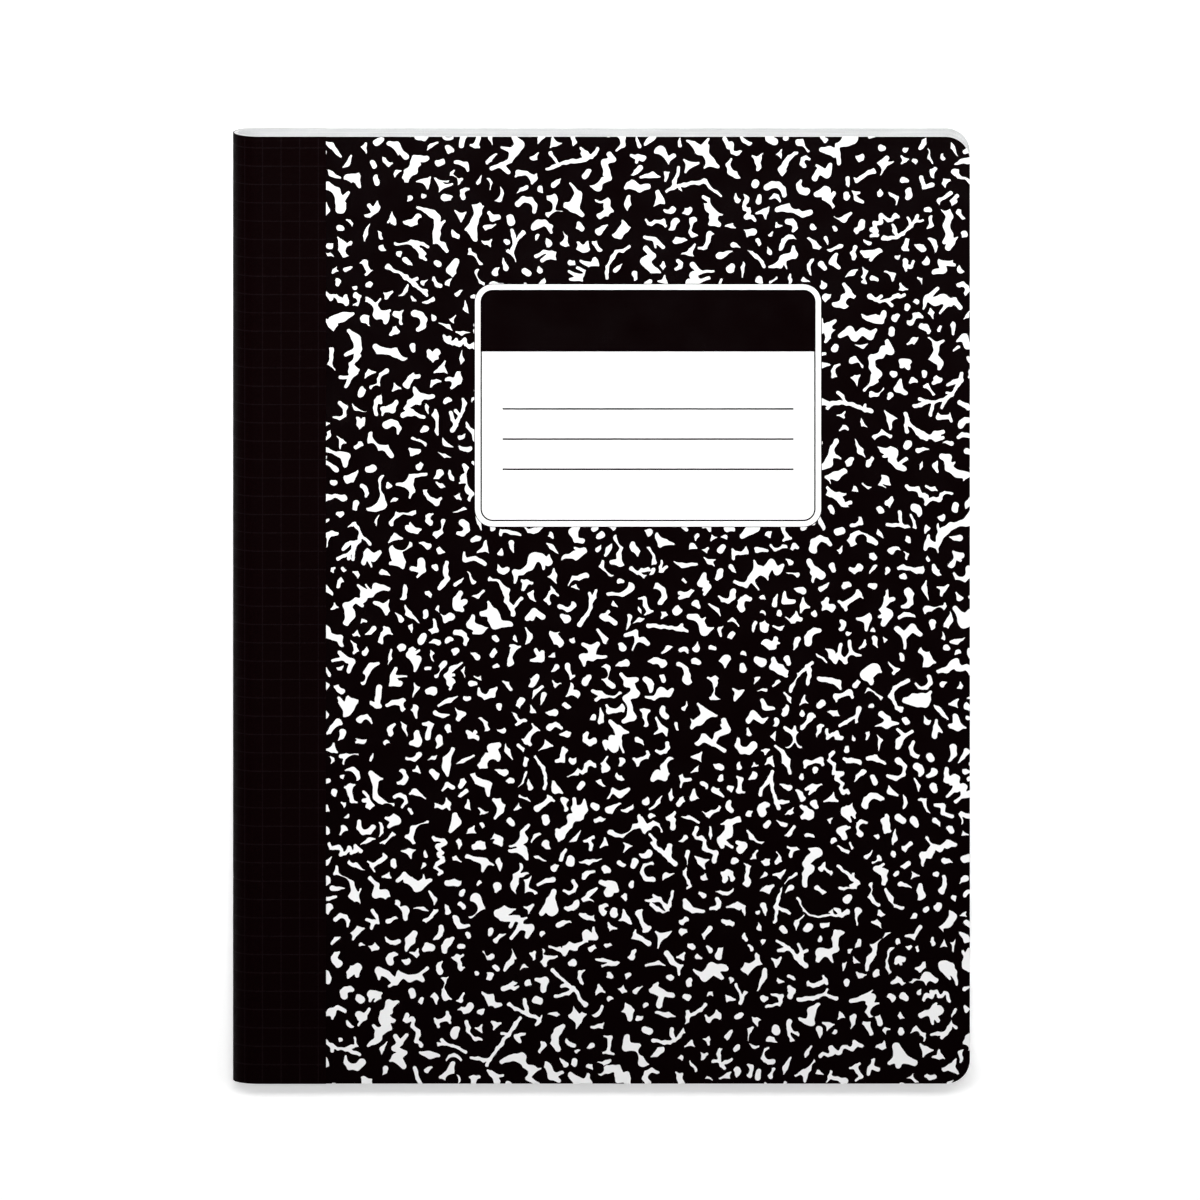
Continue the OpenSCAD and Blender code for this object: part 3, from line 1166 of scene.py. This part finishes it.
def add_floor():
    """A light table, that glows more where the soft boxes don't reach."""
    m = Nodes("floor", (0.90, 0.90, 0.90), 0.9, 0.1)
    m.shader.inputs["Emission Color"].default_value = (1, 1, 1, 1)
    away = m.add("ShaderNodeVectorMath", operation="DISTANCE")
    m.link(m.stretched(m.places(), (0.4, 1, 1)), away.inputs[0])
    away.inputs[1].default_value = LIGHT_AIM
    m.link(m.spread(away.outputs["Value"], 0.33, 0.93, 0.27, 0.46), m.shader.inputs["Emission Strength"])
    mesh = bpy.data.meshes.new("floor")
    mesh.from_pydata([(-6, -6, 0), (6, -6, 0), (6, 6, 0), (-6, 6, 0)], [], [(0, 1, 2, 3)])
    mesh.materials.append(m.material)
    floor = bpy.data.objects.new("floor", mesh)
    floor.location.z = FLOOR_Z
    bpy.context.scene.collection.objects.link(floor)


def add_light(name, place, aim, size, power, spread=180):
    """A soft box facing a point, narrowed by a grid where spread is under 180 degrees."""
    data = bpy.data.lights.new(name, "AREA")
    data.shape = "RECTANGLE"
    data.size, data.size_y = size
    data.energy = power
    data.spread = math.radians(spread)
    light = bpy.data.objects.new(name, data)
    light.location = place
    light.rotation_euler = (Vector(aim) - Vector(place)).to_track_quat("-Z", "Y").to_euler()
    bpy.context.scene.collection.objects.link(light)


def add_world():
    """A room that the camera sees as white, and that lights the book softly from the sides."""
    world = bpy.data.worlds.new("studio")
    bpy.context.scene.world = world
    world.use_nodes = True
    tree = world.node_tree
    background = tree.nodes["Background"]
    direction = tree.nodes.new("ShaderNodeTexCoord")
    split = tree.nodes.new("ShaderNodeSeparateXYZ")
    tree.links.new(direction.outputs["Generated"], split.inputs["Vector"])
    ramp = tree.nodes.new("ShaderNodeValToRGB")
    ramp.color_ramp.elements[0].position, ramp.color_ramp.elements[0].color = 0.3, (0.28, 0.28, 0.28, 1)
    ramp.color_ramp.elements[1].position, ramp.color_ramp.elements[1].color = 0.8, (0.01, 0.01, 0.01, 1)
    tree.links.new(split.outputs["Z"], ramp.inputs["Fac"])
    seen = tree.nodes.new("ShaderNodeLightPath")
    white = tree.nodes.new("ShaderNodeMix")
    white.data_type = "RGBA"
    tree.links.new(seen.outputs["Is Camera Ray"], white.inputs["Factor"])
    tree.links.new(ramp.outputs["Color"], white.inputs["A"])
    white.inputs["B"].default_value = (1, 1, 1, 1)
    tree.links.new(white.outputs["Result"], background.inputs["Color"])


add_floor()
add_light("head_softbox", (0, 0.34, 1.12), LIGHT_AIM, (1.5, 0.18), 2.58, 46)
add_light("left_softbox", (-0.55, 0.16, 1.12), LIGHT_AIM, (0.4, 0.2), 0.25, 46)
add_light("right_softbox", (0.55, 0.16, 1.12), LIGHT_AIM, (0.4, 0.2), 0.25, 46)
add_world()

view_settings = bpy.context.scene.view_settings
view_settings.view_transform = "Standard"
view_settings.look = "None"
view_settings.exposure = 0
view_settings.gamma = 1
